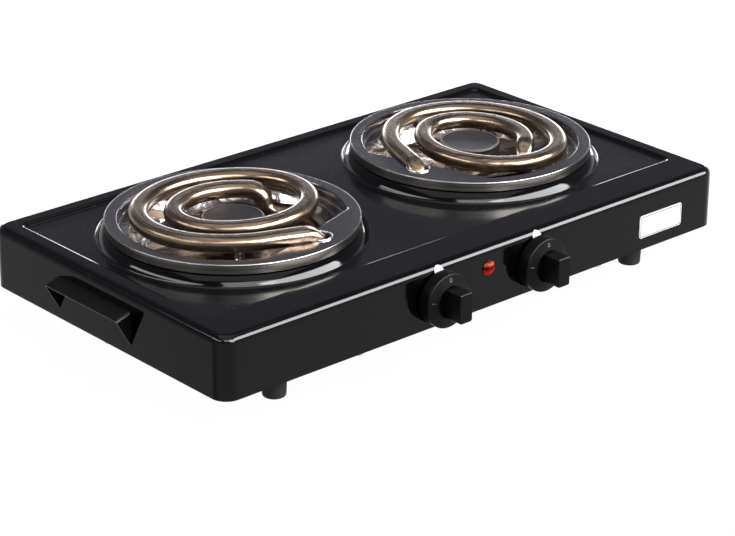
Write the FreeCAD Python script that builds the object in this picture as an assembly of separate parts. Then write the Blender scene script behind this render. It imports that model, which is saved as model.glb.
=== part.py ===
import FreeCAD, Part
import math
import os

# Free-standing electric hot plate with two coil burners.
# Millimetres. +X runs along the length to the right, -Y towards the knobs, +Z up.
# The origin lies on the surface that the feet stand on, under the middle of the bounding box.

V = FreeCAD.Vector

# Casing, pressed from steel sheet
body_length = 471.0
body_depth = 260.0
wall_height = 45.5
corner_radius = 12.0
top_edge_radius = 6.0
sheet = 1.0
flange_width = 10.0
recess_end_border = 15.5
recess_back_border = 15.7
recess_drop = 5.0
recess_corner_radius = 5.0
recess_lip_radius = 2.0
recess_floor_radius = 1.5

# Burner places, and the chrome drip pan of each burner
burner_end_margin = 15.75
burner_side_margin = 15.0
rim_rise = 12.0
rim_radius = 90.0
rim_width = 9.0
rim_skirt = 6.9
rim_edge_radius = 0.9
pan_sheet = 0.8
pan_step_drop = 9.0
pan_step_width = 8.0
pan_wall_slope = 9.0
pan_depth = 23.0
pan_bend_radius = 4.0
pan_step_edge_radius = 1.5
pan_mouth_radius = 0.72
ledge_width = 17.5
left_ledge_angle = -72.0
right_ledge_angle = -162.0

# Raised collar of the casing under each pan's rim
collar_clearance = 0.9
collar_flange_width = 3.5
collar_root_radius = 9.0
collar_top_radius = 1.2

# Heating coil: a flattened tube wound in quarter turns, seen from its pan with the ledge at +X
tube_width = 14.0
tube_height = 11.5
tube_top_radius = 5.0
tube_bottom_radius = 5.3
coil_anchor_x = 13.6
coil_anchor_inset = 30.4
coil_anchor_heading = -159.3
coil_first_inset = 17.5
coil_radius_step = 6.1
coil_oval = 9.5
coil_quarters = 6
coil_lead_sweep = 31.0
coil_lead_run = 27.0
coil_last_sweep = 88.0
coil_tail_radius = 30.0
coil_tail_sweep = 57.0
coil_bend_radius = 12.0
coil_tail_bend_radius = 11.0
coil_leg_drop = 17.0
coil_tail_overhang = 6.5
coil_tail_level = -13.5
left_coil_lift = 8.4
right_coil_lift = 5.4
tube_clearance = 0.4

# Coil support, centre cap, ferrules, beads and pins
arm_first_angle = 140.0
arm_step_angle = 55.0
arm_count = 4
arm_thickness = 1.5
arm_depth = 6.0
arm_clearance = 0.6
arm_end_gap = 4.0
hub_radius = 7.0
hub_foot_radius = 12.0
hub_foot_thickness = 1.5
hub_root_radius = 1.0
cap_coil_gap = 50.0
cap_height = 5.0
cap_edge_radius = 1.6
cap_border = 2.4
cap_dish_depth = 0.4
cap_dish_slope = 0.6
cap_top_drop = 1.0
cap_sheet = 1.0
cap_clearance = 0.8
eyelet_bore_radius = 7.6
eyelet_wall = 0.6
eyelet_collar = 3.0
eyelet_lip = 0.9
eyelet_lip_width = 1.4
washer_margin = 2.2
washer_thickness = 0.8
bead_radius = 3.4
bead_length = 5.0
pin_radius = 1.5
pin_length = 9.0

# Knobs and shafts
knob_spacing = 94.0
knob_drop = 23.6
knob_gap = 2.0
knob_radius = 19.8
knob_skirt_depth = 8.8
knob_edge_radius = 1.0
knob_inner_edge_radius = 1.5
knob_face_radius = 11.6
knob_face_rise = 2.2
knob_well_depth = 2.4
knob_well_slope = 0.8
knob_well_edge_radius = 0.4
knob_well_floor_radius = 0.6
knob_grip_rise = 14.8
knob_grip_width = 11.4
knob_grip_height = 21.4
knob_grip_foot_radius = 1.8
knob_grip_head_radius = 0.8
knob_grip_bevel = 0.5
knob_wall = 2.0
knob_boss_radius = 6.5
shaft_radius = 3.0
shaft_flat_depth = 1.2
shaft_front = 17.0
shaft_back = 14.3
shaft_running_clearance = 0.05
knob_bore_clearance = 0.05

# Thermostat behind each knob
frame_width = 36.0
frame_above = 12.0
frame_below = 19.0
frame_sheet = 1.5
frame_corner_radius = 2.0
bush_radius = 5.0
bush_front = 1.5
bush_back = 10.0
bush_hole_clearance = 0.3
stack_drop = 12.0
stack_radius = 6.0
stack_front_length = 12.0
stack_middle_length = 3.5
stack_back_length = 3.0
blade_thickness = 0.8
blade_width = 9.0
blade_corner_radius = 1.5
blade_above = 8.0
blade_below = 17.0
tab_height = 6.3
tab_reach = 17.0
rivet_radius = 1.8
rivet_head_radius = 3.2
rivet_head_height = 1.4
rivet_clearance = 0.2
thermostat_screw_spacing = 26.0

# Screws: shank radius, head radius, head height
screw_radius = 1.9
screw_head_radius = 3.4
screw_head_height = 1.9
screw_clearance = 0.2
screw_slot_width = 0.9
screw_slot_depth = 0.8
nut_flats = 7.0
nut_height = 3.2

# Indicator lamp between the knobs
lamp_drop = 15.5
lens_flange_radius = 5.4
lens_flange_height = 1.0
lens_edge_radius = 0.4
lens_dome_height = 2.4
lens_dome_shoulder = 0.6
lens_dome_inset = 1.1
lens_dome_radius = 1.5
lens_barrel_radius = 4.4
lens_barrel_length = 12.0
lens_bore_radius = 3.0
lens_fit = 0.1
clip_radius = 7.5
clip_thickness = 0.8
bulb_radius = 2.3
bulb_length = 10.0

# Lifting hoods on the end walls
hood_length = 82.0
hood_reach = 12.0
hood_top_drop = 13.0
hood_lip_fall = 3.8
hood_height = 25.0
hood_edge_radius = 2.5
hood_tab_height = 9.0
hood_tab_reach = 4.0
hood_tab_clearance = 0.15

# Feet and base plate
foot_height = 21.5
foot_top_radius = 9.2
foot_bottom_radius = 8.2
foot_edge_radius = 1.6
foot_recess_radius = 4.4
foot_recess_depth = 14.0
foot_end_inset = 63.5
foot_front_inset = 26.0
plate_thickness = 1.0
plate_inset = 2.5
vent_length = 34.0
vent_width = 4.0
vent_corner_radius = 1.8
vent_pitch = 12.0
vent_rows = 7
vent_gap = 14.0
base_screw_inset = 5.5
base_screw_tip = 4.0
foot_screw_tip = 1.0

# Rear entry, terminal block and earth screw
gland_drop = 26.0
gland_radius = 7.5
gland_flange_radius = 11.0
gland_flange = 5.0
gland_mouth_radius = 0.8
gland_bore_radius = 4.0
gland_inner_lip = 1.6
gland_inner_length = 6.0
gland_fit = 0.1
block_length = 44.0
block_depth = 18.0
block_height = 15.0
block_corner_radius = 2.0
block_setback = 62.0
block_ways = 3
block_pitch = 12.0
barrel_radius = 3.2
barrel_bore_radius = 2.0
block_screw_spacing = 36.0
earth_offset_x = 45.0
earth_setback = 30.0

# Levels and places that follow from the sizes above
plate_bottom = foot_height
casing_bottom = plate_bottom + plate_thickness
casing_top = casing_bottom + wall_height
recess_floor = casing_top - recess_drop
rim_top = casing_top + rim_rise
knob_reach = knob_gap + knob_skirt_depth + knob_face_rise + knob_grip_rise
front_y = (knob_reach - body_depth - gland_flange) / 2
back_y = front_y + body_depth
middle_y = front_y + body_depth / 2
recess_length = body_length - 2 * recess_end_border
recess_depth = 2 * (rim_radius + burner_side_margin)
burner_y = back_y - recess_back_border - recess_depth / 2
burner_spacing = recess_length - 2 * (rim_radius + burner_end_margin)
knob_z = casing_top - knob_drop
lamp_z = casing_top - lamp_drop
rim_inner_radius = rim_radius - rim_width
pan_step_radius = rim_inner_radius - pan_step_width
pan_wall_foot_radius = pan_step_radius - pan_wall_slope
ledge_distance = rim_inner_radius - ledge_width
coil_first_radius = rim_radius - coil_first_inset
coil_anchor_y = coil_anchor_inset - rim_radius
coil_tail_reach = ledge_distance + coil_tail_overhang
cap_radius = coil_first_radius - cap_coil_gap
collar_radius = rim_radius - pan_sheet - collar_clearance
collar_opening = collar_radius - sheet - collar_flange_width

SIDES = (
    ("left", -1, left_ledge_angle, left_coil_lift),
    ("right", 1, right_ledge_angle, right_coil_lift),
)


def unit(u, v):
    length = math.hypot(u, v)
    return u / length, v / length


def corner_wire(corners, to_space):
    """Closed wire through (u, v, radius) corners, each rounded by a tangent arc."""
    turns = []
    for i, (u, v, radius) in enumerate(corners):
        before = corners[i - 1]
        after = corners[(i + 1) % len(corners)]
        au, av = unit(before[0] - u, before[1] - v)
        bu, bv = unit(after[0] - u, after[1] - v)
        if radius == 0:
            turns.append(((u, v), None, (u, v)))
            continue
        half = math.acos(au * bu + av * bv) / 2
        run = radius / math.tan(half)
        mu, mv = unit(au + bu, av + bv)
        depth = radius / math.sin(half) - radius
        start = (u + au * run, v + av * run)
        end = (u + bu * run, v + bv * run)
        turns.append((start, (u + mu * depth, v + mv * depth), end))
    edges = []
    for i, (start, middle, end) in enumerate(turns):
        if middle:
            edges.append(Part.Arc(to_space(*start), to_space(*middle), to_space(*end)).toShape())
        following = turns[(i + 1) % len(turns)][0]
        if math.dist(end, following) > 1e-6:
            edges.append(Part.LineSegment(to_space(*end), to_space(*following)).toShape())
    return Part.Wire(edges)


def revolved(corners):
    """Solid of revolution about Z from a rounded outline of (radius, height, corner radius)."""
    face = Part.Face(corner_wire(corners, lambda u, v: V(u, 0, v)))
    return face.revolve(V(0, 0, 0), V(0, 0, 1), 360)


def slab(corners, low, high):
    """Upright prism on a rounded outline of (x, y, corner radius)."""
    face = Part.Face(corner_wire(corners, lambda u, v: V(u, v, low)))
    return face.extrude(V(0, 0, high - low))


def rounded_slab(length, depth, radius, low, high, centre_y=0.0, centre_x=0.0):
    left = centre_x - length / 2
    right = centre_x + length / 2
    front = centre_y - depth / 2
    back = centre_y + depth / 2
    corners = [(left, front, radius), (right, front, radius), (right, back, radius), (left, back, radius)]
    return slab(corners, low, high)


def box(x0, x1, y0, y1, z0, z1):
    return Part.makeBox(x1 - x0, y1 - y0, z1 - z0, V(x0, y0, z0))


def rod(radius, low, high, x=0.0, y=0.0):
    return Part.makeCylinder(radius, high - low, V(x, y, low))


def fuse(shapes):
    return shapes[0].fuse(shapes[1:]).removeSplitter()


def edges_at(shape, z):
    return [e for e in shape.Edges if all(abs(v.Z - z) < 1e-6 for v in e.Vertexes)]


def on_front(shape, x, z):
    """Stand a piece made along +Z on the front wall's outer face, pointing out of it."""
    shape.rotate(V(0, 0, 0), V(1, 0, 0), 90)
    shape.translate(V(x, front_y, z))
    return shape


def on_back(shape, x, z):
    """Stand a piece made along +Z on the back wall's outer face, pointing out of it."""
    shape.rotate(V(0, 0, 0), V(1, 0, 0), -90)
    shape.translate(V(x, back_y, z))
    return shape


def on_burner(shape, sign, angle):
    """Put a piece made about a rim's centre, ledge towards +X, on its burner."""
    shape.rotate(V(0, 0, 0), V(0, 0, 1), angle)
    shape.translate(V(sign * burner_spacing / 2, burner_y, rim_top))
    return shape


def save(name, shapes):
    solids = shapes if isinstance(shapes, list) else [shapes]
    solids = [s for shape in solids for s in shape.Solids]
    bad = [s for s in solids if not s.isValid() or s.Volume <= 0]
    shape = solids[0] if len(solids) == 1 else Part.makeCompound(solids)
    shape.exportStep("parts/" + name + ".step")
    print(name, len(solids), "solids", round(shape.Volume / 1000, 2), "cm3", "BAD" if bad else "")


def machine_screw(length):
    """Pan-head screw along -Z with its head's underside at z = 0 and a driving slot."""
    head = revolved([(0, 0, 0), (screw_head_radius, 0, 0),
                     (screw_head_radius, screw_head_height, screw_head_height / 2),
                     (0, screw_head_height, 0)])
    slot = box(-screw_head_radius, screw_head_radius, -screw_slot_width / 2, screw_slot_width / 2,
               screw_head_height - screw_slot_depth, screw_head_height)
    return fuse([head, rod(screw_radius, -length, 0)]).cut(slot)


def hex_nut():
    across = nut_flats / math.sqrt(3)
    points = [V(across * math.cos(math.radians(60 * i)), across * math.sin(math.radians(60 * i)), 0)
              for i in range(7)]
    blank = Part.Face(Part.makePolygon(points)).extrude(V(0, 0, nut_height))
    return blank.cut(rod(screw_radius, 0, nut_height))


# Casing: walls with a rounded top edge, a sunk top panel, a bottom flange and two collars
def collar():
    """Sheet collar round a burner, about the rim's centre: root fillet, neck and seat flange."""
    floor = recess_floor - rim_top
    seat = -pan_sheet
    root = collar_radius + collar_root_radius + sheet
    inner = collar_radius - sheet
    return revolved([(root, floor - sheet, 0), (root, floor, 0), (collar_radius, floor, collar_root_radius),
                     (collar_radius, seat, collar_top_radius), (collar_opening, seat, 0),
                     (collar_opening, seat - sheet, 0), (inner, seat - sheet, 0),
                     (inner, floor - sheet, collar_root_radius + sheet)])


def hood_slots(clearance):
    """Slots in an end wall for the tabs of its hood, on the +X side."""
    wall_x = body_length / 2
    slots = []
    for sign in (-1, 1):
        y = burner_y + sign * (hood_length - sheet) / 2
        z = hood_tab_z()
        slots.append(box(wall_x - sheet - hood_tab_reach, wall_x,
                         y - sheet / 2 - clearance, y + sheet / 2 + clearance,
                         z - hood_tab_height / 2 - clearance, z + hood_tab_height / 2 + clearance))
    return slots


def hood_tab_z():
    return casing_top - hood_top_drop - hood_height / 2


def base_screw_places():
    x = body_length / 2 - base_screw_inset
    y = body_depth / 2 - base_screw_inset
    spots = [(sx * x / 2, middle_y + sy * y) for sx in (-1, 1) for sy in (-1, 1)]
    return spots + [(sx * x, middle_y) for sx in (-1, 1)]


def make_casing():
    outer = rounded_slab(body_length, body_depth, corner_radius, casing_bottom, casing_top, middle_y)
    outer = outer.makeFillet(top_edge_radius, edges_at(outer, casing_top))
    inner = rounded_slab(body_length - 2 * sheet, body_depth - 2 * sheet, corner_radius - sheet,
                         casing_bottom, casing_top - sheet, middle_y)
    inner = inner.makeFillet(top_edge_radius - sheet, edges_at(inner, casing_top - sheet))
    tray = rounded_slab(recess_length + 2 * sheet, recess_depth + 2 * sheet, recess_corner_radius + sheet,
                        recess_floor - sheet, casing_top - sheet / 2, burner_y)
    sink = rounded_slab(recess_length, recess_depth, recess_corner_radius,
                        recess_floor, casing_top + sheet, burner_y)
    sink = sink.makeFillet(recess_floor_radius, edges_at(sink, recess_floor))
    body = outer.cut(inner).fuse(tray).cut(sink)
    flange = rounded_slab(body_length, body_depth, corner_radius,
                          casing_bottom, casing_bottom + sheet, middle_y)
    hollow = rounded_slab(body_length - 2 * flange_width, body_depth - 2 * flange_width, corner_radius / 2,
                          casing_bottom, casing_bottom + sheet, middle_y)
    body = body.fuse(flange.cut(hollow))
    for name, sign, angle, lift in SIDES:
        mouth = rod(collar_radius + collar_root_radius, recess_floor - sheet - rim_top, 0)
        body = body.cut(on_burner(mouth, sign, angle))
        body = body.fuse(on_burner(collar(), sign, angle))
    body = body.removeSplitter()
    half_length = recess_length / 2 + 1e-3
    half_depth = recess_depth / 2 + 1e-3
    lip = [e for e in edges_at(body, casing_top)
           if all(abs(v.X) < half_length and abs(v.Y - burner_y) < half_depth for v in e.Vertexes)]
    body = body.makeFillet(recess_lip_radius, lip)
    cuts = []
    for name, sign, angle, lift in SIDES:
        x = sign * knob_spacing / 2
        cuts.append(on_front(rod(bush_radius + bush_hole_clearance, -2 * sheet, sheet), x, knob_z))
        for side in (-1, 1):
            place = x + side * thermostat_screw_spacing / 2
            cuts.append(on_front(rod(screw_radius + screw_clearance, -2 * sheet, sheet), place, knob_z))
        slots = hood_slots(hood_tab_clearance)
        cuts += slots if sign > 0 else [s.mirror(V(0, 0, 0), V(1, 0, 0)) for s in slots]
    cuts.append(on_front(rod(lens_barrel_radius + lens_fit, -2 * sheet, sheet), 0, lamp_z))
    cuts.append(on_back(rod(gland_radius + gland_fit, -2 * sheet, sheet), 0, casing_top - gland_drop))
    for x, y in base_screw_places():
        cuts.append(rod(screw_radius, casing_bottom, casing_bottom + sheet, x, y))
    return body.cut(cuts)


# Lifting hood: a pressed scoop whose tabs pass through the end wall
def make_hood():
    wall_x = body_length / 2
    top = casing_top - hood_top_drop
    lip = top - hood_lip_fall
    half = hood_length / 2
    slope = hood_lip_fall / hood_reach
    outside = [V(wall_x, 0, top), V(wall_x + hood_reach, 0, lip), V(wall_x, 0, top - hood_height)]
    wedge = Part.Face(Part.makePolygon(outside + outside[:1])).extrude(V(0, hood_length, 0))
    wedge.translate(V(0, burner_y - half, 0))
    ridges = [e for e in wedge.Edges if e.BoundBox.YLength < 1e-6 and e.BoundBox.ZMin > lip - 1e-6]
    wedge = wedge.makeFillet(hood_edge_radius, ridges)
    drop = sheet * math.hypot(1, slope)
    deep = 3 * hood_height
    inside = [V(wall_x - sheet, 0, top - drop + slope * sheet),
              V(wall_x + 2 * hood_reach, 0, top - drop - 2 * hood_reach * slope),
              V(wall_x + 2 * hood_reach, 0, top - deep), V(wall_x - sheet, 0, top - deep)]
    scoop = Part.Face(Part.makePolygon(inside + inside[:1])).extrude(V(0, hood_length - 2 * sheet, 0))
    scoop.translate(V(0, burner_y - half + sheet, 0))
    corners = [e for e in scoop.Edges if e.BoundBox.YLength < 1e-6
               and e.BoundBox.ZMin > top - deep + 1e-6 and e.BoundBox.XLength > hood_reach]
    scoop = scoop.makeFillet(hood_edge_radius - sheet, corners)
    return fuse([wedge.cut(scoop)] + hood_slots(0.0))


# Drip pan: flat rim with a skirt, a stepped bowl, and a ledge where the coil's ends go through
def bowl(offset):
    """Bowl cavity about the rim's centre, grown by offset, cut straight at the ledge."""
    rim = rim_inner_radius + offset
    step = pan_step_radius + offset
    foot = pan_wall_foot_radius + offset
    bend = pan_bend_radius - offset
    ledge = -pan_step_drop - offset
    floor = -pan_depth - offset
    shape = revolved([(0, pan_sheet, 0), (rim, pan_sheet, 0), (rim, ledge, bend / 2),
                      (step, ledge, pan_step_edge_radius + offset), (foot, floor, bend), (0, floor, 0)])
    far = 2 * rim_radius
    keep = box(-far, ledge_distance + offset, -far, far, -far, far)
    return shape.common(keep)


def make_pan(lift):
    skirt_inner = rim_radius - pan_sheet
    rim = revolved([(0, 0, 0), (rim_radius, 0, rim_edge_radius), (rim_radius, -rim_skirt, 0),
                    (skirt_inner, -rim_skirt, 0), (skirt_inner, -pan_sheet, 0), (0, -pan_sheet, 0)])
    pan = rim.fuse(bowl(pan_sheet).common(rod(2 * rim_radius, -3 * pan_depth, 0))).removeSplitter()
    pan = pan.cut(bowl(0.0))
    mouth = [e for e in pan.Edges if abs(e.BoundBox.ZMin) < 1e-6 and abs(e.BoundBox.ZMax) < 1e-6
             and e.BoundBox.XMax < rim_inner_radius + 1e-3 and e.BoundBox.DiagonalLength > pan_bend_radius]
    pan = pan.makeFillet(min(pan_mouth_radius, 0.9 * pan_sheet), mouth)
    leg = coil_ends(lift)[0][0]
    eyelet_hole = rod(eyelet_bore_radius + eyelet_wall, -2 * pan_sheet, pan_sheet, leg.x, leg.y)
    screw_hole = rod(screw_radius + screw_clearance, -2 * pan_depth, 0)
    return pan.cut([coil_tube(lift, tube_clearance), eyelet_hole, screw_hole])


# Heating coil: straight leg, bend, quarter turns of falling radius, then a tail that dips under the turns
class Track:
    """Path of lines and arcs that starts at a point with a heading and stays tangent throughout."""

    def __init__(self, point, heading):
        self.point = V(*point)
        self.heading = heading
        self.pitch = 0.0
        self.edges = []
        self.samples = [V(*point)]

    def forward(self):
        turn = math.radians(self.heading)
        dip = math.radians(self.pitch)
        return V(math.cos(dip) * math.cos(turn), math.cos(dip) * math.sin(turn), math.sin(dip))

    def line(self, length):
        end = self.point + self.forward() * length
        self.edges.append(Part.LineSegment(self.point, end).toShape())
        count = max(2, int(length / 2))
        self.samples += [self.point + self.forward() * (length * i / count) for i in range(1, count + 1)]
        self.point = end

    def arc(self, radius, sweep, upright=False):
        """Arc to the right by sweep degrees, or downwards in the upright plane (negative is upwards)."""
        start = self.point
        begin = self.pitch if upright else self.heading
        steps = max(4, int(abs(sweep) / 5) * 2)
        points = []
        for i in range(1, steps + 1):
            middle = begin - sweep * (i - 0.5) / steps
            chord = 2 * radius * math.sin(math.radians(abs(sweep)) / steps / 2)
            if upright:
                self.pitch = middle
            else:
                self.heading = middle
            self.point = self.point + self.forward() * chord
            points.append(self.point)
        if upright:
            self.pitch = begin - sweep
        else:
            self.heading = begin - sweep
        self.edges.append(Part.Arc(start, points[steps // 2 - 1], points[-1]).toShape())
        self.samples += points


def coil_radius(quarter):
    swing = coil_oval if quarter % 2 == 0 else -coil_oval
    return coil_first_radius - coil_radius_step * quarter + swing


def coil_track(lift):
    """Centre line of the tube, from the end that passes through the ledge to the end of the tail."""
    level = lift - tube_height / 2
    first = coil_radius(0)
    entry = coil_anchor_heading + coil_lead_sweep
    side = math.radians(coil_anchor_heading + 90)
    centre_x = coil_anchor_x - first * math.cos(side)
    centre_y = coil_anchor_y - first * math.sin(side)
    side = math.radians(entry + 90)
    back = math.radians(entry + 180)
    reach = coil_lead_run + coil_bend_radius
    start = (centre_x + first * math.cos(side) + reach * math.cos(back),
             centre_y + first * math.sin(side) + reach * math.sin(back),
             level - coil_bend_radius - coil_leg_drop + tube_height)
    track = Track(start, entry)
    track.pitch = 90.0
    track.line(coil_leg_drop - tube_height)
    track.arc(coil_bend_radius, 90, upright=True)
    track.line(coil_lead_run)
    track.arc(first, coil_lead_sweep)
    for quarter in range(1, coil_quarters):
        track.arc(coil_radius(quarter), 90)
    track.arc(coil_radius(coil_quarters), coil_last_sweep)
    fall = level - coil_tail_level
    dip = math.degrees(math.acos(1 - fall / (2 * coil_tail_bend_radius)))
    track.arc(coil_tail_bend_radius, dip, upright=True)
    track.arc(coil_tail_bend_radius, -dip, upright=True)
    track.arc(coil_tail_radius, coil_tail_sweep)
    track.line((coil_tail_reach - track.point.x) / math.cos(math.radians(track.heading)))
    return track


def coil_tube(lift, growth):
    """Tube along the coil's track, its section grown by growth all round."""
    track = coil_track(lift)
    x = tube_width / 2 + growth
    z = tube_height / 2 + growth
    top = tube_top_radius + growth
    bottom = tube_bottom_radius + growth
    start = track.edges[0].Vertexes[0].Point
    turn = math.radians(track_heading_at_start())
    across = V(-math.sin(turn), math.cos(turn), 0)
    outward = V(-math.cos(turn), -math.sin(turn), 0)
    section = corner_wire([(-x, -z, bottom), (x, -z, bottom), (x, z, top), (-x, z, top)],
                          lambda u, v: start + across * u + outward * v)
    return Part.Wire(track.edges).makePipeShell([section], True, False)


def track_heading_at_start():
    return coil_anchor_heading + coil_lead_sweep


def least_gap(track):
    """Smallest distance between stretches of the tube that are more than a half turn of wire apart."""
    points = track.samples
    apart = math.pi * tube_width * 2
    travelled = [0.0]
    for a, b in zip(points, points[1:]):
        travelled.append(travelled[-1] + (b - a).Length)
    least = None
    for i, a in enumerate(points):
        for j in range(i + 1, len(points)):
            if travelled[j] - travelled[i] < apart:
                continue
            flat = math.hypot(points[j].x - a.x, points[j].y - a.y)
            rise = abs(points[j].z - a.z)
            gap = max(flat - tube_width, rise - tube_height)
            if least is None or gap < least:
                least = gap
    return least


# Coil support with its cap, and the pieces at the coil's ends
def make_support(lift):
    seat = lift - tube_height
    floor = -pan_depth
    hub_top = -cap_top_drop - cap_sheet
    hub = revolved([(screw_radius, floor, 0), (hub_foot_radius, floor, 0),
                    (hub_foot_radius, floor + hub_foot_thickness, 0),
                    (hub_radius, floor + hub_foot_thickness, hub_root_radius), (hub_radius, hub_top, 0),
                    (screw_radius, hub_top, 0)])
    pieces = [hub]
    root = hub_radius / 2
    under_cap = -cap_top_drop - cap_height - cap_clearance
    underside = max(seat - arm_depth, arm_clearance - pan_step_drop)
    shoulder = pan_step_radius + 2 * pan_step_edge_radius
    reach = rim_inner_radius - arm_end_gap
    for i in range(arm_count):
        outline = [V(root, 0, under_cap - arm_depth), V(pan_wall_foot_radius, 0, underside),
                   V(shoulder, 0, -pan_step_drop),
                   V(reach, 0, -pan_step_drop), V(reach, 0, underside), V(reach - arm_end_gap, 0, seat),
                   V(cap_radius + 2 * cap_clearance, 0, seat), V(cap_radius + cap_clearance, 0, under_cap),
                   V(root, 0, under_cap)]
        arm = Part.Face(Part.makePolygon(outline + outline[:1])).extrude(V(0, arm_thickness, 0))
        arm.translate(V(0, -arm_thickness / 2, 0))
        arm.rotate(V(0, 0, 0), V(0, 0, 1), arm_first_angle + i * arm_step_angle)
        pieces.append(arm)
    return fuse(pieces)


def make_cap():
    top = -cap_top_drop
    inner = cap_radius - cap_sheet
    dish = top - cap_dish_depth
    border = cap_radius - cap_border
    return revolved([(0, top - cap_sheet, 0), (inner, top - cap_sheet, cap_edge_radius - cap_sheet),
                     (inner, top - cap_height, 0), (cap_radius, top - cap_height, 0),
                     (cap_radius, top, cap_edge_radius), (border, top, cap_dish_depth),
                     (border - cap_dish_slope, dish, cap_dish_depth), (0, dish, 0)])


def make_support_screw():
    screw = machine_screw(pan_depth / 2)
    screw.rotate(V(0, 0, 0), V(1, 0, 0), 180)
    screw.translate(V(0, 0, -pan_depth - pan_sheet))
    return screw


def make_ferrules(lift):
    """Eyelet in the ledge round the tube's leg, and a washer behind the ledge's wall round its tail."""
    hole = coil_tube(lift, tube_clearance)
    leg = coil_ends(lift)[0][0]
    barrel_outer = eyelet_bore_radius + eyelet_wall
    eyelet = revolved([(eyelet_bore_radius, -eyelet_collar, 0), (barrel_outer, -eyelet_collar, 0),
                       (barrel_outer, 0, 0), (eyelet_bore_radius + eyelet_lip_width, 0, 0),
                       (eyelet_bore_radius + eyelet_lip_width, eyelet_lip, eyelet_lip / 2),
                       (eyelet_bore_radius, eyelet_lip, eyelet_lip / 2)])
    eyelet.translate(V(leg.x, leg.y, 0))
    tail = coil_track(lift)
    wall = ledge_distance + pan_sheet
    y = tail.point.y - (tail.point.x - wall) * math.tan(math.radians(tail.heading))
    slice_box = box(wall, wall + washer_thickness, y - tube_width, y + tube_width,
                    coil_tail_level - tube_height, coil_tail_level + tube_height)
    washer = coil_tube(lift, tube_clearance + washer_margin).common(slice_box)
    return [eyelet.cut(hole), washer.cut(hole)]


def coil_ends(lift):
    """Both ends of the tube as (point, outward direction)."""
    track = coil_track(lift)
    return [(track.edges[0].Vertexes[0].Point, V(0, 0, -1)), (track.point, track.forward())]


def make_beads(lift):
    beads = []
    for point, outward in coil_ends(lift):
        bead = Part.makeCylinder(bead_radius, bead_length, point, outward)
        beads.append(bead.cut(Part.makeCylinder(pin_radius, bead_length, point, outward)))
    return beads


def make_pins(lift):
    return [Part.makeCylinder(pin_radius, bead_length + pin_length, point, outward)
            for point, outward in coil_ends(lift)]


# Knob, shaft and thermostat, made along +Z with the wall's outer face at z = 0
def make_knob():
    back = knob_gap
    edge = back + knob_skirt_depth
    face = edge + knob_face_rise
    top = face + knob_grip_rise
    well = face - knob_well_depth
    body = revolved([(0, back, 0), (knob_radius, back, 0), (knob_radius, edge, knob_edge_radius),
                     (knob_face_radius, face, knob_well_edge_radius),
                     (knob_face_radius - knob_well_slope, well, knob_well_floor_radius), (0, well, 0)])
    inner = knob_radius - knob_wall
    hollow = revolved([(0, back, 0), (inner, back, 0), (inner, edge - knob_wall, knob_inner_edge_radius),
                       (0, edge - knob_wall, 0)])
    x = knob_grip_width / 2
    y = knob_grip_height / 2
    foot = knob_grip_foot_radius
    head = knob_grip_head_radius
    grip = slab([(-x, -y, foot), (x, -y, foot), (x, y, head), (-x, y, head)], edge - knob_wall, top)
    grip = grip.makeChamfer(knob_grip_bevel, edges_at(grip, top))
    boss = rod(knob_boss_radius, back + knob_wall, edge)
    knob = fuse([body.cut(hollow), boss, grip])
    return knob.cut(shaft_end(knob_bore_clearance, shaft_front + knob_bore_clearance))


def shaft_end(growth, front):
    """Front of the shaft with its flat, grown by growth."""
    radius = shaft_radius + growth
    flat = shaft_radius - shaft_flat_depth + growth
    end = rod(radius, 0, front)
    return end.cut(box(-radius, radius, flat, 2 * radius, bush_front + 1.0 - growth, front + 1.0))


def make_shaft():
    front = shaft_end(0.0, shaft_front)
    return fuse([front, rod(shaft_radius, -shaft_back, 0)])


def make_frame():
    plate = rounded_slab(frame_width, frame_above + frame_below, frame_corner_radius,
                         -sheet - frame_sheet, -sheet, (frame_above - frame_below) / 2)
    frame = fuse([plate, rod(bush_radius, -bush_back, bush_front)])
    holes = [rod(shaft_radius + shaft_running_clearance, -2 * bush_back, 2 * bush_back),
             rod(rivet_radius + rivet_clearance, -2 * bush_back, 0, 0, -stack_drop)]
    for side in (-1, 1):
        holes.append(rod(screw_radius, -2 * bush_back, 0, side * thermostat_screw_spacing / 2))
    return frame.cut(holes)


def stack_levels():
    """Depths of the ring and blade faces behind the frame's plate, from the front."""
    depths = [-sheet - frame_sheet]
    for length in (stack_front_length, blade_thickness, stack_middle_length, blade_thickness,
                   stack_back_length):
        depths.append(depths[-1] - length)
    return depths


def make_stack():
    z = stack_levels()
    hole = rod(rivet_radius + rivet_clearance, -2 * bush_back - 3 * stack_front_length, 0, 0, -stack_drop)
    return [rod(stack_radius, z[i + 1], z[i], 0, -stack_drop).cut(hole) for i in (0, 2, 4)]


def make_blade(level, side):
    z = stack_levels()
    blade = rounded_slab(blade_width, blade_above + blade_below, blade_corner_radius,
                         z[level + 1], z[level], (blade_above - blade_below) / 2)
    tab = box(min(0, side * tab_reach), max(0, side * tab_reach), -stack_drop - tab_height / 2,
              -stack_drop + tab_height / 2, z[level + 1], z[level])
    return fuse([blade, tab]).cut(rod(rivet_radius + rivet_clearance, z[-1], 0, 0, -stack_drop))


def make_rivet():
    end = stack_levels()[-1]
    shank = rod(rivet_radius, end, -sheet, 0, -stack_drop)
    return fuse([shank, rod(rivet_head_radius, end - rivet_head_height, end, 0, -stack_drop)])


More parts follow.
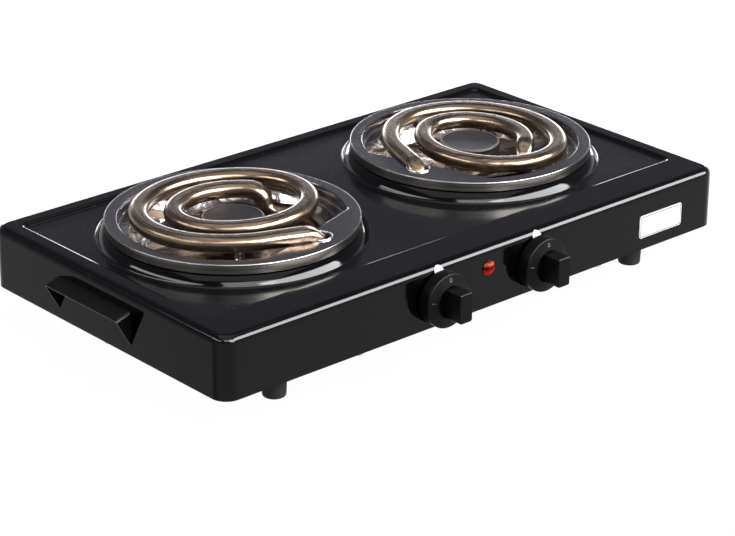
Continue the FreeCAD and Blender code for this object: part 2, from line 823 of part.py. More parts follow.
# Indicator lamp
def make_lens():
    dome = lens_flange_height + lens_dome_height
    barrel = -lens_barrel_length
    flange = lens_flange_height
    return revolved([(lens_bore_radius, barrel, 0), (lens_barrel_radius, barrel, 0),
                     (lens_barrel_radius, 0, 0), (lens_flange_radius, 0, 0),
                     (lens_flange_radius, flange, lens_edge_radius),
                     (lens_barrel_radius, flange, 0),
                     (lens_barrel_radius - lens_dome_inset, dome - lens_dome_shoulder, lens_dome_radius),
                     (0, dome, 0), (0, flange, 0), (lens_bore_radius, flange, 0)])


def make_clip():
    ring = rod(clip_radius, -sheet - clip_thickness, -sheet)
    return ring.cut(rod(lens_barrel_radius, -sheet - clip_thickness, -sheet))


def make_bulb():
    return revolved([(0, -lens_barrel_length, 0), (bulb_radius, -lens_barrel_length, 0),
                     (bulb_radius, bulb_length - lens_barrel_length, bulb_radius * 0.9),
                     (0, bulb_length - lens_barrel_length, 0)])


# Feet, base plate and their fasteners
def foot_places():
    x = body_length / 2 - foot_end_inset
    y = body_depth / 2 - foot_front_inset
    return {"front_left": (-x, middle_y - y), "front_right": (x, middle_y - y),
            "rear_left": (-x, middle_y + y), "rear_right": (x, middle_y + y)}


def make_foot():
    hole = screw_radius + screw_clearance
    return revolved([(foot_recess_radius, 0, 0), (foot_bottom_radius, 0, foot_edge_radius),
                     (foot_top_radius, foot_height, 0), (hole, foot_height, 0),
                     (hole, foot_recess_depth, 0), (foot_recess_radius, foot_recess_depth, 0)])


def make_foot_screw():
    screw = machine_screw(foot_height - foot_recess_depth + plate_thickness + nut_height + foot_screw_tip)
    screw.rotate(V(0, 0, 0), V(1, 0, 0), 180)
    screw.translate(V(0, 0, foot_recess_depth))
    return screw


def make_base_plate():
    plate = rounded_slab(body_length - 2 * plate_inset, body_depth - 2 * plate_inset,
                         corner_radius - plate_inset, plate_bottom, casing_bottom, middle_y)
    cuts = []
    for name, sign, angle, lift in SIDES:
        for row in range(vent_rows):
            y = burner_y + (row - (vent_rows - 1) / 2) * vent_pitch
            for side in (-1, 1):
                x = sign * burner_spacing / 2 + side * (vent_length + vent_gap) / 2
                cuts.append(rounded_slab(vent_length, vent_width, vent_corner_radius,
                                         plate_bottom, casing_bottom, y, x))
    hole = screw_radius + screw_clearance
    spots = list(foot_places().values()) + base_screw_places() + block_screw_places() + [earth_place()]
    for x, y in spots:
        cuts.append(rod(hole, plate_bottom, casing_bottom, x, y))
    return plate.cut(cuts)


# Rear entry, terminal block and earth screw
def make_gland():
    barb = gland_radius + gland_inner_lip
    end = -sheet - gland_inner_length
    return revolved([(gland_bore_radius, end, 0), (gland_radius, end, 0),
                     (barb, -sheet - gland_inner_length / 3, 0), (barb, -sheet, 0),
                     (gland_radius, -sheet, 0),
                     (gland_radius, 0, 0), (gland_flange_radius, 0, 0),
                     (gland_flange_radius, gland_flange, gland_flange / 2),
                     (gland_bore_radius, gland_flange, gland_mouth_radius)])


def block_place():
    return 0.0, back_y - block_setback


def block_screw_places():
    x, y = block_place()
    return [(x + side * block_screw_spacing / 2, y) for side in (-1, 1)]


def barrel_places():
    x, y = block_place()
    return [(x + (i - (block_ways - 1) / 2) * block_pitch, y) for i in range(block_ways)]


def barrel(radius, x):
    y = block_place()[1]
    z = casing_bottom + block_height / 2
    return Part.makeCylinder(radius, block_depth, V(x, y - block_depth / 2, z), V(0, 1, 0))


def make_block():
    x, y = block_place()
    low = casing_bottom
    body = rounded_slab(block_length, block_depth, block_corner_radius, low, low + block_height, y, x)
    cuts = [barrel(barrel_radius, place[0]) for place in barrel_places()]
    for sx, sy in block_screw_places():
        cuts.append(rod(screw_radius + screw_clearance, low, low + block_height, sx, sy))
    return body.cut(cuts)


def make_block_terminals():
    return [barrel(barrel_radius, x).cut(barrel(barrel_bore_radius, x)) for x, y in barrel_places()]


def earth_place():
    return earth_offset_x, back_y - earth_setback


def upright_screws(places, seat, length):
    screws = []
    for x, y in places:
        screw = machine_screw(length)
        screw.translate(V(x, y, seat))
        screws.append(screw)
    return screws


def make_block_screws():
    return upright_screws(block_screw_places(), casing_bottom + block_height, block_height + plate_thickness)


def make_earth():
    x, y = earth_place()
    nut = hex_nut()
    nut.translate(V(x, y, casing_bottom))
    screw = upright_screws([(x, y)], casing_bottom + nut_height, nut_height + plate_thickness)
    return screw + [nut]


def make_base_screws():
    screws = []
    for x, y in base_screw_places():
        screw = machine_screw(plate_thickness + sheet + base_screw_tip)
        screw.rotate(V(0, 0, 0), V(1, 0, 0), 180)
        screw.translate(V(x, y, plate_bottom))
        screws.append(screw)
    return screws


os.makedirs("parts", exist_ok=True)
save("casing", make_casing())
hood = make_hood()
save("right_handle", hood)
save("left_handle", hood.mirror(V(0, 0, 0), V(1, 0, 0)))
save("base_plate", make_base_plate())
support_screws = []
thermostat_screws = []
rivets = []
for name, sign, angle, lift in SIDES:
    track = coil_track(lift)
    print(name, "coil: least gap to itself", round(least_gap(track), 2), "mm")
    save(name + "_drip_pan", on_burner(make_pan(lift), sign, angle))
    save(name + "_coil", on_burner(coil_tube(lift, 0.0), sign, angle))
    save(name + "_coil_support", on_burner(make_support(lift), sign, angle))
    save(name + "_centre_cap", on_burner(make_cap(), sign, angle))
    save(name + "_ferrules", [on_burner(s, sign, angle) for s in make_ferrules(lift)])
    save(name + "_coil_beads", [on_burner(s, sign, angle) for s in make_beads(lift)])
    save(name + "_coil_pins", [on_burner(s, sign, angle) for s in make_pins(lift)])
    support_screws.append(on_burner(make_support_screw(), sign, angle))
    x = sign * knob_spacing / 2
    save(name + "_knob", on_front(make_knob(), x, knob_z))
    save(name + "_shaft", on_front(make_shaft(), x, knob_z))
    save(name + "_thermostat_frame", on_front(make_frame(), x, knob_z))
    save(name + "_stack", [on_front(s, x, knob_z) for s in make_stack()])
    save(name + "_contact_blade", on_front(make_blade(1, 1), x, knob_z))
    save(name + "_bimetal", on_front(make_blade(3, -1), x, knob_z))
    rivets.append(on_front(make_rivet(), x, knob_z))
    for side in (-1, 1):
        screw = machine_screw(sheet + frame_sheet + 3.0)
        thermostat_screws.append(on_front(screw, x + side * thermostat_screw_spacing / 2, knob_z))
save("support_screws", support_screws)
save("stack_rivets", rivets)
save("thermostat_screws", thermostat_screws)
save("lamp_lens", on_front(make_lens(), 0, lamp_z))
save("lamp_clip", on_front(make_clip(), 0, lamp_z))
save("lamp_bulb", on_front(make_bulb(), 0, lamp_z))
foot_screws = []
foot_nuts = []
for corner, (x, y) in foot_places().items():
    foot = make_foot()
    foot.translate(V(x, y, 0))
    save(corner + "_foot", foot)
    screw = make_foot_screw()
    screw.translate(V(x, y, 0))
    foot_screws.append(screw)
    nut = hex_nut()
    nut.translate(V(x, y, casing_bottom))
    foot_nuts.append(nut)
save("foot_screws", foot_screws)
save("foot_nuts", foot_nuts)
save("base_screws", make_base_screws())
save("cord_gland", on_back(make_gland(), 0, casing_top - gland_drop))
save("terminal_block", make_block())
save("block_terminals", make_block_terminals())
save("block_screws", make_block_screws())
save("earth_screw", make_earth())
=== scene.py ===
import math

import bmesh
import bpy
from mathutils import Matrix, Vector


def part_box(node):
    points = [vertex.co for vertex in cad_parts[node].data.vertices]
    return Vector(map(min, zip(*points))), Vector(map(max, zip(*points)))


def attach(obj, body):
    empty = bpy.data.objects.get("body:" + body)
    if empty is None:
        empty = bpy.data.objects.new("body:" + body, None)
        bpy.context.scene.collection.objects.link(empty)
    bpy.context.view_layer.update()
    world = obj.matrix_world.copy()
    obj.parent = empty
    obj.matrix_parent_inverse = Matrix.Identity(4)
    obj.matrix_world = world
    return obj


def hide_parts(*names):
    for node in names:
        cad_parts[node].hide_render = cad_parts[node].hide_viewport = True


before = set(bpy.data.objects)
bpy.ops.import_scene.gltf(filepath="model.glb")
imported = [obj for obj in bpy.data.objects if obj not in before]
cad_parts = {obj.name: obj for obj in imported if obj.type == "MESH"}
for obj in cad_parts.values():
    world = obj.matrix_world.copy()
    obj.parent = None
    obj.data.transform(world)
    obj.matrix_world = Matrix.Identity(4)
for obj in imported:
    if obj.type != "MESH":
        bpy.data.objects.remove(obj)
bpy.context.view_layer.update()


# Casing: one deep pressing of steel sheet, fired with gloss black enamel that flows a little.
# The top is sunk inside a border, and a raised collar stands round each burner.
# The sunk panel runs up into the border by an eased slope, as sheet does in a press tool.
def add_node(tree, kind, inputs=None, **settings):
    made = tree.nodes.new(kind)
    for key, value in settings.items():
        setattr(made, key, value)
    for key, value in (inputs or {}).items():
        if isinstance(value, bpy.types.NodeSocket):
            tree.links.new(value, made.inputs[key])
        else:
            made.inputs[key].default_value = value
    return made


def sum_node(tree, operation, *values):
    return add_node(tree, "ShaderNodeMath", dict(enumerate(values)), operation=operation).outputs[0]


def span_node(tree, value, start, end, low=0.0, high=1.0, **settings):
    return add_node(tree, "ShaderNodeMapRange", {"Value": value, "From Min": start, "From Max": end,
                                                 "To Min": low, "To Max": high}, **settings).outputs[0]


def noise_node(tree, place, scale, detail):
    noise = add_node(tree, "ShaderNodeTexNoise", {"Vector": place, "Scale": scale, "Detail": detail})
    return noise.outputs["Fac"]


def mix_node(tree, share, first, second):
    return add_node(tree, "ShaderNodeMix", {"Factor": share, "A": first, "B": second},
                    data_type="RGBA").outputs["Result"]


def bump_node(tree, height, strength, distance, over=None):
    inputs = {"Height": height, "Strength": strength, "Distance": distance}
    if over:
        inputs["Normal"] = over
    return add_node(tree, "ShaderNodeBump", inputs).outputs["Normal"]


def effect_node(tree, effect, **inputs):
    return add_node(tree, "ShaderNodeGroup", inputs, node_tree=effect)


def split_node(tree, place):
    return add_node(tree, "ShaderNodeSeparateXYZ", {"Vector": place}).outputs


def new_finish(name, **values):
    finish = bpy.data.materials.new(name)
    finish.use_nodes = True
    tree = finish.node_tree
    shader = tree.nodes["Principled BSDF"]
    for label, value in values.items():
        shader.inputs[label.replace("_", " ").title().replace("Ior", "IOR")].default_value = value
    return finish, tree, shader


def new_effect(name, inputs, outputs):
    effect = bpy.data.node_groups.new(name, "ShaderNodeTree")
    for label, kind, value in inputs:
        socket = effect.interface.new_socket(label, in_out="INPUT", socket_type=kind)
        if value is not None:
            socket.default_value = value
    for label in outputs:
        effect.interface.new_socket(label, in_out="OUTPUT", socket_type="NodeSocketFloat")
    return effect, effect.nodes.new("NodeGroupInput"), effect.nodes.new("NodeGroupOutput")


def object_place(tree, centre=(0.0, 0.0, 0.0)):
    place = add_node(tree, "ShaderNodeTexCoord")
    return add_node(tree, "ShaderNodeMapping", {"Vector": place.outputs["Object"], "Location": centre},
                    vector_type="TEXTURE").outputs["Vector"]


def put_on(finish, *nodes):
    for name in nodes:
        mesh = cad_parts[name].data
        mesh.materials.clear()
        mesh.materials.append(finish)


def new_object(name, form, finish):
    mesh = bpy.data.meshes.new(name)
    form.to_mesh(mesh)
    form.free()
    mesh.materials.append(finish)
    made = bpy.data.objects.new(name, mesh)
    bpy.context.scene.collection.objects.link(made)
    return made


def keep_piece(name, form, finish, slot, body, *stands_for):
    piece = new_object(name, form, finish)
    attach(piece, body)
    if stands_for:
        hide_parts(*stands_for)
    return piece


sharp_turn = math.radians(40)


def soften(form):
    for face in form.faces:
        face.smooth = True
    for edge in form.edges:
        edge.smooth = edge.calc_face_angle(math.pi) < sharp_turn


def smooth_skin(node, finish, slot, body="body", shape=None):
    put_on(finish, node)
    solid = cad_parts[node]
    form = bmesh.new()
    form.from_mesh(solid.data)
    bmesh.ops.transform(form, matrix=solid.matrix_world, verts=form.verts)
    bmesh.ops.remove_doubles(form, verts=form.verts, dist=1e-6)
    if shape:
        shape(form)
    soften(form)
    skin = keep_piece(node + "_skin", form, finish, slot, body, node)
    even = skin.modifiers.new("even shading", "WEIGHTED_NORMAL")
    even.keep_sharp = True


casing_low, casing_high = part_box("casing")
casing_top = 0.068
sheet = 0.001
border_end = 0.0155
border_back = 0.0157
panel_half_x = casing_high.x - border_end
panel_half_y = 0.105
panel_y = casing_high.y - border_back - panel_half_y
panel_corner = 0.005
pressed_floor = 0.063
panel_level = 0.0654
lip_radius = 0.002
foot_radius = 0.0015
slope_start = 0.002
slope_end = 0.003
slope_cuts = 3
flare_rise = 0.009
underside_reach = 0.9 * sheet
underside_level = casing_top - 0.5 * sheet
reach_slack = 1e-4
level_slack = 1e-5


def inside_panel(point):
    across = abs(point.x) - (panel_half_x - panel_corner)
    along = abs(point.y - panel_y) - (panel_half_y - panel_corner)
    corner = math.hypot(max(across, 0.0), max(along, 0.0))
    return panel_corner - corner - min(max(across, along), 0.0)


def eased(share):
    return 2 * share ** 2 if share < 0.5 else 1 - 2 * (1 - share) ** 2


def on_slope(point):
    inside = inside_panel(point)
    under = inside < -underside_reach and point.z < underside_level
    return (-lip_radius - reach_slack < inside < 2 * foot_radius and not under
            and pressed_floor - level_slack < point.z < casing_top + level_slack)


def wall_reach(height):
    above = height - (casing_top - lip_radius)
    below = pressed_floor + foot_radius - height
    if above > 0:
        return math.sqrt(max(0.0, lip_radius ** 2 - above ** 2)) - lip_radius
    if below > 0:
        return foot_radius - math.sqrt(max(0.0, foot_radius ** 2 - below ** 2))
    return 0.0


def ease_panel(form):
    steep = [edge for edge in form.edges if all(on_slope(vert.co) for vert in edge.verts)
             and abs(edge.verts[0].co.z - edge.verts[1].co.z) > reach_slack]
    bmesh.ops.subdivide_edges(form, edges=steep, cuts=slope_cuts)
    for vert in form.verts:
        height = vert.co.z
        if on_slope(vert.co):
            share = (casing_top - height) / (casing_top - pressed_floor)
            step = share * (slope_end + slope_start) - slope_start - wall_reach(height)
            vert.co.x -= step * math.copysign(1.0, vert.co.x)
            vert.co.y -= step * math.copysign(1.0, vert.co.y - panel_y)
            vert.co.z = casing_top - (casing_top - panel_level) * eased(share)
        elif inside_panel(vert.co) > 0 and height > pressed_floor - sheet / 2:
            fading = max(0.0, 1 - (height - pressed_floor) / flare_rise)
            vert.co.z += (panel_level - pressed_floor) * fading


dust, dust_in, dust_out = new_effect(
    "dust specks", [("Vector", "NodeSocketVector", None), ("Grains", "NodeSocketFloat", 700.0),
                    ("Share", "NodeSocketFloat", 0.03)], ["Mask"])
cells = add_node(dust, "ShaderNodeTexVoronoi", {"Vector": dust_in.outputs["Vector"],
                                                "Scale": dust_in.outputs["Grains"]})
chance = add_node(dust, "ShaderNodeSeparateColor", {"Color": cells.outputs["Color"]})
picked = sum_node(dust, "LESS_THAN", chance.outputs["Red"], dust_in.outputs["Share"])
round_spot = span_node(dust, cells.outputs["Distance"], start=0.30, end=0.12)
dust.links.new(sum_node(dust, "MULTIPLY", picked, round_spot), dust_out.inputs["Mask"])

enamel_black = (0.0016, 0.0015, 0.0021, 1)
filmed_black = (0.0052, 0.0050, 0.0068, 1)
dust_grey = (0.10, 0.10, 0.105, 1)
border_skim = 0.0005
panel_skim = 0.0004
sunk_dulling = 0.06
end_shade_start = 0.0014
end_shade_full = 0.0002
end_shade = 0.75
enamel, tree, shader = new_finish("black_enamel", specular_ior_level=0.16)
place = object_place(tree)
parts = split_node(tree, place)
level = parts["Z"]
sunk = span_node(tree, level, start=casing_top - border_skim, end=panel_level + panel_skim)
sunk = sum_node(tree, "MULTIPLY", sunk, sum_node(tree, "GREATER_THAN", level, panel_level - panel_skim))
film = noise_node(tree, place, scale=7.0, detail=5.0)
film = span_node(tree, film, start=0.35, end=0.70, low=0.4, high=1.0)
specks = effect_node(tree, dust, Vector=place, Grains=520.0, Share=0.02)
dusty = mix_node(tree, sum_node(tree, "MULTIPLY", sunk, film), enamel_black, filmed_black)
tone = mix_node(tree, sum_node(tree, "MULTIPLY", sunk, specks.outputs["Mask"]), dusty, dust_grey)
haze = noise_node(tree, place, scale=14.0, detail=4.0)
haze = span_node(tree, haze, start=0.35, end=0.75, low=0.05, high=0.11)
rough = sum_node(tree, "MULTIPLY_ADD", sunk, sunk_dulling, haze)
flow = bump_node(tree, noise_node(tree, place, scale=60.0, detail=1.0), strength=0.012, distance=0.002)
# The end walls get painted shade: a metallic mask darkens them, because plain enamel shows too much of the
# white floor there.
end_wall_painted_shade = span_node(tree, sum_node(tree, "ABSOLUTE", parts["X"]), start=casing_high.x - end_shade_start,
                     end=casing_high.x - end_shade_full, high=end_shade)
tree.links.new(tone, shader.inputs["Base Color"])
tree.links.new(end_wall_painted_shade, shader.inputs["Metallic"])
tree.links.new(rough, shader.inputs["Roughness"])
tree.links.new(flow, shader.inputs["Normal"])
smooth_skin("casing", enamel, "casing_enamel", shape=ease_panel)

# Collar shoulders: the rounded step that the press leaves at the foot of each burner's collar.
# It comes up from the panel, leans inwards in a wide curve, and goes in under the pan's skirt.
sides = ("left", "right")
shoulder_inner = 0.0880
shoulder_top = 0.0722
shoulder_start = 0.0900
shoulder_bend = 0.0132
shoulder_first_turn = math.radians(30)
shoulder_last_turn = math.radians(65)
shoulder_foot = 0.0972
shoulder_toe_width = 0.0012
shoulder_toe_rise = 0.0003
shoulder_arc_steps = 10
shoulder_spin_steps = 128


def burner_middle(side):
    low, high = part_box(side + "_drip_pan")
    return Vector(((low.x + high.x) / 2, (low.y + high.y) / 2, 0.0))


outline = [(shoulder_inner, panel_level - sheet), (shoulder_inner, shoulder_top)]
for step in range(shoulder_arc_steps + 1):
    turn = shoulder_first_turn + (shoulder_last_turn - shoulder_first_turn) * step / shoulder_arc_steps
    outline.append((shoulder_start + shoulder_bend * (math.sin(turn) - math.sin(shoulder_first_turn)),
                    shoulder_top - shoulder_bend * (math.cos(shoulder_first_turn) - math.cos(turn))))
outline.append((shoulder_foot - shoulder_toe_width, panel_level + shoulder_toe_rise))
outline.append((shoulder_foot, panel_level))
outline.append((shoulder_foot, panel_level - sheet))
for side in sides:
    form = bmesh.new()
    middle = burner_middle(side)
    corners = [form.verts.new(middle + Vector((radius, 0.0, height))) for radius, height in outline]
    ring = [form.edges.new((corners[n - 1], corners[n])) for n in range(len(corners))]
    bmesh.ops.spin(form, geom=corners + ring, cent=middle, axis=(0, 0, 1), angle=2 * math.pi,
                   steps=shoulder_spin_steps, use_merge=True)
    bmesh.ops.recalc_face_normals(form, faces=form.faces)
    soften(form)
    keep_piece(side + "_collar_shoulder", form, enamel, "casing_enamel", "body")

# Lifting hoods: small pressed scoops on the end walls, enamelled with the casing.
# Their tabs go through slots in the wall and are bent over inside.
hood_black = (0.0020, 0.0019, 0.0025, 1)
hood_grey = (0.0045, 0.0043, 0.0054, 1)
thin_enamel, tree, shader = new_finish("thin_enamel", roughness=0.38, specular_ior_level=0.12)
tone = mix_node(tree, noise_node(tree, object_place(tree), scale=45.0, detail=4.0), hood_black, hood_grey)
tree.links.new(tone, shader.inputs["Base Color"])
for side in sides:
    smooth_skin(side + "_handle", thin_enamel, "casing_enamel")

# Index dots: a round bead of white enamel above each knob, fired on with the casing.
# Each one is slightly domed and runs over the start of the casing's rounded top edge.
front_wall = casing_low.y
top_edge_radius = 0.006
top_edge_most = 0.999 * top_edge_radius
dot_radius = 0.0042
dot_height = 0.0628
dot_dome = 0.0010
dot_rings = 7
dot_white = (0.96, 0.96, 0.95, 1)
dot_pale_grey = (0.90, 0.90, 0.89, 1)


def front_edge(height):
    over = max(0.0, height - (casing_top - top_edge_radius))
    over = min(over, top_edge_most)
    return front_wall + top_edge_radius - math.sqrt(top_edge_radius ** 2 - over ** 2)


white_spot, tree, shader = new_finish("white_spot", roughness=0.3)
cloud = noise_node(tree, object_place(tree), scale=600.0, detail=3.0)
tree.links.new(mix_node(tree, cloud, dot_pale_grey, dot_white), shader.inputs["Base Color"])
for side in sides:
    knob_low, knob_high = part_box(side + "_knob")
    middle = Vector(((knob_low.x + knob_high.x) / 2, 0.0, dot_height))
    form = bmesh.new()
    bmesh.ops.create_circle(form, cap_ends=True, segments=48, radius=dot_radius)
    for ring in range(dot_rings):
        inner = max(form.faces, key=lambda face: len(face.verts))
        bmesh.ops.inset_region(form, faces=[inner], thickness=dot_radius / (dot_rings + 1),
                               use_boundary=True, use_even_offset=True)
    bmesh.ops.rotate(form, verts=form.verts, matrix=Matrix.Rotation(math.pi / 2, 3, "X"))
    bmesh.ops.translate(form, verts=form.verts, vec=middle)
    for vert in form.verts:
        reach = min(1.0, (vert.co - middle).length / dot_radius)
        vert.co.y = front_edge(vert.co.z) - dot_dome * math.sqrt(1 - reach ** 2)
    for face in form.faces:
        face.smooth = True
    keep_piece(side + "_index_dot", form, white_spot, "casing_enamel", "body")

# Bare plate: a thin white lacquered aluminium plate stuck flat on the front wall.
# It has rounded corners, a turned edge and one thin printed line round it, and no words.
plate_length = 0.0445
plate_height = 0.0175
plate_film = 0.0007
plate_place = Vector((0.1752, front_wall, 0.0406))
plate_corner = 0.002
plate_turned_edge = 0.4 * plate_film
plate_line_inset = 0.0011
plate_line_width = 0.00030
plate_white = (0.88, 0.88, 0.88, 1)
plate_pale_grey = (0.80, 0.80, 0.81, 1)
plate_line_grey = (0.10, 0.10, 0.11, 1)
form = bmesh.new()
bmesh.ops.create_cube(form, size=1.0)
bmesh.ops.scale(form, verts=form.verts, vec=(plate_length, plate_film, plate_height))
corners = [e for e in form.edges if abs(e.verts[0].co.y - e.verts[1].co.y) > plate_film / 2]
bmesh.ops.bevel(form, geom=corners, offset=plate_corner, segments=6, affect="EDGES", profile=0.5,
                material=-1)
rim = [e for e in form.edges if all(v.co.y < 0 for v in e.verts)]
bmesh.ops.bevel(form, geom=rim, offset=plate_turned_edge, segments=2, affect="EDGES", profile=0.5,
                material=-1)
bmesh.ops.translate(form, verts=form.verts, vec=plate_place - Vector((0, plate_film / 2, 0)))
lacquer, tree, shader = new_finish("white_lacquer", roughness=0.35)
place = object_place(tree, plate_place)
parts = split_node(tree, place)
from_end = sum_node(tree, "SUBTRACT", plate_length / 2, sum_node(tree, "ABSOLUTE", parts["X"]))
from_edge = sum_node(tree, "SUBTRACT", plate_height / 2, sum_node(tree, "ABSOLUTE", parts["Z"]))
nearest = sum_node(tree, "MINIMUM", from_end, from_edge)
line = sum_node(tree, "COMPARE", nearest, plate_line_inset, plate_line_width)
shade = mix_node(tree, noise_node(tree, place, scale=120.0, detail=4.0), plate_pale_grey, plate_white)
tree.links.new(mix_node(tree, line, shade, plate_line_grey), shader.inputs["Base Color"])
keep_piece("bare_plate", form, lacquer, "casing_enamel", "body")

# Drip pans: spun from thin steel sheet and chrome plated, with a flat rim, a turned-down skirt
# and a stepped bowl. The spinning tool leaves fine lines round the middle, and the skirt is
# brushed dull by handling. The rim and the skirt are also painted darker than the bowl, as
# painted shade on their reflections. Heat browns the bowl under the coil.
turned, turned_in, turned_out = new_effect(
    "turned lines", [("Vector", "NodeSocketVector", None), ("Lines", "NodeSocketFloat", 900.0),
                     ("Length", "NodeSocketFloat", 1.5)], ["Height", "Tone", "Reach"])
parts = split_node(turned, turned_in.outputs["Vector"])
flat = add_node(turned, "ShaderNodeCombineXYZ", {"X": parts["X"], "Y": parts["Y"]}).outputs[0]
reach = add_node(turned, "ShaderNodeVectorMath", {0: flat}, operation="LENGTH").outputs["Value"]
angle = sum_node(turned, "ARCTAN2", parts["Y"], parts["X"])
track = add_node(turned, "ShaderNodeCombineXYZ", {
    "X": sum_node(turned, "MULTIPLY", reach, turned_in.outputs["Lines"]),
    "Y": sum_node(turned, "MULTIPLY", angle, turned_in.outputs["Length"]),
    "Z": sum_node(turned, "MULTIPLY", parts["Z"], turned_in.outputs["Lines"])}).outputs[0]
turned.links.new(noise_node(turned, track, scale=1.0, detail=3.0), turned_out.inputs["Height"])
turned.links.new(noise_node(turned, track, scale=0.2, detail=2.0), turned_out.inputs["Tone"])
turned.links.new(reach, turned_out.inputs["Reach"])

# Painted shade: the rim and skirt chrome is darker than the bowl's, to dim their reflections.
skirt_radius = 0.0890
skirt_blend = 0.0003
skirt_dulling = 0.14
skirt_dark = (0.09, 0.083, 0.077, 1)
skirt_light = (0.28, 0.262, 0.245, 1)
rim_level = 0.0793
rim_painted_dark_chrome = (0.185, 0.181, 0.194, 1)
bowl_level = 0.0765
bowl_dulling = 0.06
bowl_brown = (0.12, 0.103, 0.096, 1)
bowl_chrome = (0.50, 0.47, 0.455, 1)
for side in sides:
    chrome, tree, shader = new_finish(side + "_pan_chrome", metallic=1.0)
    place = object_place(tree, burner_middle(side))
    lines = effect_node(tree, turned, Vector=place, Lines=2600.0, Length=3.0)
    skirt = span_node(tree, lines.outputs["Reach"], start=skirt_radius - skirt_blend,
                      end=skirt_radius + skirt_blend)
    below = span_node(tree, split_node(tree, place)["Z"], start=rim_level, end=bowl_level)
    bowl = sum_node(tree, "MULTIPLY", below, sum_node(tree, "SUBTRACT", 1.0, skirt))
    stain = span_node(tree, noise_node(tree, place, scale=38.0, detail=4.0), start=0.35, end=0.65)
    browned = mix_node(tree, stain, bowl_brown, bowl_chrome)
    brushed_and_shaded = mix_node(tree, lines.outputs["Tone"], skirt_dark, skirt_light)
    tone = mix_node(tree, bowl, mix_node(tree, skirt, rim_painted_dark_chrome, brushed_and_shaded), browned)
    rough = span_node(tree, lines.outputs["Tone"], start=0.3, end=0.7, low=0.08, high=0.18)
    rough = sum_node(tree, "MULTIPLY_ADD", skirt, skirt_dulling, rough)
    rough = sum_node(tree, "MULTIPLY_ADD", bowl, bowl_dulling, rough)
    relief = bump_node(tree, lines.outputs["Height"], strength=0.06, distance=0.0004)
    dents = sum_node(tree, "MULTIPLY", bowl, noise_node(tree, place, scale=70.0, detail=2.0))
    relief = bump_node(tree, dents, strength=0.35, distance=0.003, over=relief)
    tree.links.new(tone, shader.inputs["Base Color"])
    tree.links.new(rough, shader.inputs["Roughness"])
    tree.links.new(relief, shader.inputs["Normal"])
    smooth_skin(side + "_drip_pan", chrome, "pan_chrome")


# Ferrules: bright plated eyelets and washers where the coil's ends pass through the pan's ledge.
# The screws that hold the coil supports have the same plating.
def cloudy_metal(name, colour, scale, detail, low, high):
    finish, tree, shader = new_finish(name, base_color=colour, metallic=1.0)
    cloud = noise_node(tree, object_place(tree), scale, detail)
    rough = span_node(tree, cloud, start=0.0, end=1.0, low=low, high=high)
    tree.links.new(rough, shader.inputs["Roughness"])
    return finish


bright = cloudy_metal("bright_plate", (0.62, 0.61, 0.60, 1), scale=500.0, detail=3.0, low=0.10, high=0.28)
put_on(bright, "left_ferrules", "right_ferrules", "support_screws")

# Coil supports: arms cut from steel strip, standing on edge round a hub that is screwed to the pan.
# The heat of the coil turns them dull brown.
scale_dark = (0.12, 0.090, 0.070, 1)
scale_light = (0.27, 0.215, 0.18, 1)
scaled, tree, shader = new_finish("heat_brown_steel", roughness=0.38, metallic=1.0)
tone = mix_node(tree, noise_node(tree, object_place(tree), scale=160.0, detail=5.0), scale_dark, scale_light)
tree.links.new(tone, shader.inputs["Base Color"])
put_on(scaled, "left_coil_support", "right_coil_support")

# Centre caps: shallow steel discs with a rolled edge, enamelled black, in the eye of each coil.
# Dust lies on the dished top, and a light ring along the rolled edge is a painted highlight.
cap_edge_highlight_inset = 0.0011
cap_edge_highlight_width = 0.0005
cap_dark = (0.017, 0.017, 0.020, 1)
cap_light = (0.034, 0.033, 0.037, 1)
cap_dust = (0.22, 0.21, 0.20, 1)
cap_edge_highlight_tone = (0.42, 0.34, 0.27, 1)
for side in sides:
    cap_low, cap_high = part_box(side + "_centre_cap")
    cap_radius = (cap_high.x - cap_low.x) / 2
    cap_finish, tree, shader = new_finish(side + "_cap_enamel", roughness=0.30, specular_ior_level=0.2)
    place = object_place(tree, ((cap_low.x + cap_high.x) / 2, (cap_low.y + cap_high.y) / 2, 0.0))
    lines = effect_node(tree, turned, Vector=place, Lines=900.0, Length=4.0)
    specks = effect_node(tree, dust, Vector=place, Grains=900.0, Share=0.06)
    # Painted highlight: a light ring along the rolled edge, broken up by the turned lines.
    edge_highlight = sum_node(tree, "COMPARE", lines.outputs["Reach"], cap_radius - cap_edge_highlight_inset, cap_edge_highlight_width)
    edge_highlight = sum_node(tree, "MULTIPLY", edge_highlight, lines.outputs["Tone"])
    film = mix_node(tree, noise_node(tree, place, scale=90.0, detail=4.0), cap_dark, cap_light)
    tone = mix_node(tree, specks.outputs["Mask"], film, cap_dust)
    tree.links.new(mix_node(tree, edge_highlight, tone, cap_edge_highlight_tone), shader.inputs["Base Color"])
    put_on(cap_finish, side + "_centre_cap")

# Coils: a steel sheath rolled flat on top and wound inwards, oxidised to bronze brown.
# Drawing and rolling leave long fine lines that follow the turns.
sheath_dark = (0.066, 0.047, 0.034, 1)
sheath_bronze = (0.200, 0.147, 0.104, 1)
for side in sides:
    sheath, tree, shader = new_finish(side + "_coil_sheath", metallic=0.9)
    place = object_place(tree, burner_middle(side))
    lines = effect_node(tree, turned, Vector=place, Lines=2200.0, Length=4.0)
    streak = span_node(tree, lines.outputs["Tone"], start=0.3, end=0.7)
    rough = noise_node(tree, place, scale=30.0, detail=3.0)
    rough = span_node(tree, rough, start=0.3, end=0.7, low=0.22, high=0.28)
    drawn = bump_node(tree, lines.outputs["Height"], strength=0.07, distance=0.0004)
    tree.links.new(mix_node(tree, streak, sheath_dark, sheath_bronze), shader.inputs["Base Color"])
    tree.links.new(rough, shader.inputs["Roughness"])
    tree.links.new(drawn, shader.inputs["Normal"])
    smooth_skin(side + "_coil", sheath, "coil_sheath")

